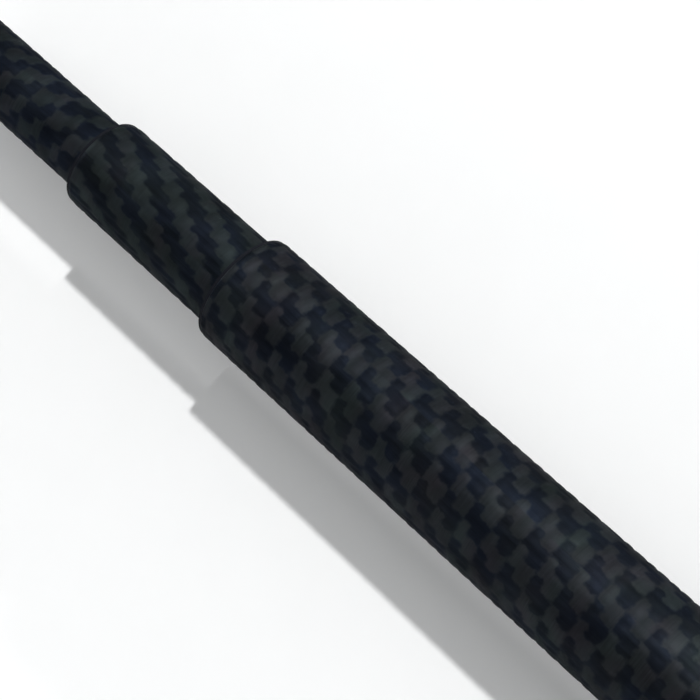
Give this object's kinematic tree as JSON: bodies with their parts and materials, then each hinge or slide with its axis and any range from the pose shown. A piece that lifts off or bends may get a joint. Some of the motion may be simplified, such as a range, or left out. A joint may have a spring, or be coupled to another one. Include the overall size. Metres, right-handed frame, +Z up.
{
  "type": "prism pole",
  "caption": "Telescopic carbon-fibre prism pole with steel ground point, circular level, internal twist locks and a threaded prism stud.",
  "frame": {"origin": "tip of the steel ground point", "axes": "+Z up the pole from the ground point to the prism thread, +X from the pole towards the circular level"},
  "size_m": [0.082, 0.038, 0.9656],
  "materials": {
    "carbon_tube": "satin clear-coated 2x2 twill carbon laminate",
    "black_nylon": "moulded, fine texture",
    "natural_acetal": "turned, satin",
    "grey_nylon": "moulded, satin",
    "bare_aluminium": "fine turned",
    "red_anodised": "anodised, satin",
    "hardened_steel": "ground, lightly worn",
    "stainless_steel": "machined thread",
    "black_steel": "black oxide",
    "turned_brass": "turned",
    "vial_backing": "white, smooth",
    "vial_glass": "clear",
    "vial_spirit": "yellow-green liquid",
    "vial_bubble": "clear gas"
  },
  "bodies": {
    "outer_section": {"outer_tube": "carbon_tube", "outer_mouth_bush": "black_nylon", "point_shoe": "bare_aluminium", "steel_point": "hardened_steel", "level_bracket": "black_nylon", "bracket_clamp_screw": "black_steel", "bracket_clamp_nut": "black_steel", "level_cup": "red_anodised", "vial_base": "vial_backing", "level_vial": "vial_glass", "level_fluid": "vial_spirit", "level_bubble": "vial_bubble", "vial_retaining_ring": "bare_aluminium", "level_adjusting_screws": "black_steel", "adjusting_springs": "stainless_steel"},
    "middle_carriage": {"middle_lock_expander": "grey_nylon"},
    "middle_section": {"middle_tube": "carbon_tube", "middle_mouth_bush": "black_nylon", "middle_lock_plug": "black_nylon", "middle_glide_ring": "natural_acetal", "middle_lock_stud": "stainless_steel", "middle_lock_stop": "stainless_steel"},
    "middle_wedge": {"middle_lock_cone": "turned_brass"},
    "upper_carriage": {"upper_lock_expander": "grey_nylon"},
    "upper_section": {"upper_tube": "carbon_tube", "upper_lock_plug": "black_nylon", "upper_glide_ring": "natural_acetal", "upper_lock_stud": "stainless_steel", "upper_lock_stop": "stainless_steel", "top_ferrule": "bare_aluminium", "prism_stud": "stainless_steel", "stud_grub_screw": "black_steel"},
    "upper_wedge": {"upper_lock_cone": "turned_brass"}
  },
  "joints": [
    {"name": "middle_extend", "type": "slide", "parent": "outer_section", "child": "middle_carriage", "axis": [0, 0, 1], "range_m": [0, 0.55]},
    {"name": "middle_twist", "type": "hinge", "parent": "middle_carriage", "child": "middle_section", "pos_m": [0, 0, 0], "axis": [0, 0, 1], "range_deg": [0, 180]},
    {"name": "middle_wedge_travel", "type": "slide", "parent": "middle_carriage", "child": "middle_wedge", "axis": [0, 0, -1], "range_m": [0, 0.0015]},
    {"name": "upper_extend", "type": "slide", "parent": "middle_section", "child": "upper_carriage", "axis": [0, 0, 1], "range_m": [0, 0.5]},
    {"name": "upper_twist", "type": "hinge", "parent": "upper_carriage", "child": "upper_section", "pos_m": [0, 0, 0], "axis": [0, 0, 1], "range_deg": [0, 180]},
    {"name": "upper_wedge_travel", "type": "slide", "parent": "upper_carriage", "child": "upper_wedge", "axis": [0, 0, -1], "range_m": [0, 0.0015]}
  ],
  "couplings": [
    {"joint": "middle_twist", "follows": "middle_wedge_travel", "rad_per_m": 2094.4},
    {"joint": "upper_twist", "follows": "upper_wedge_travel", "rad_per_m": 2094.4}
  ]
}
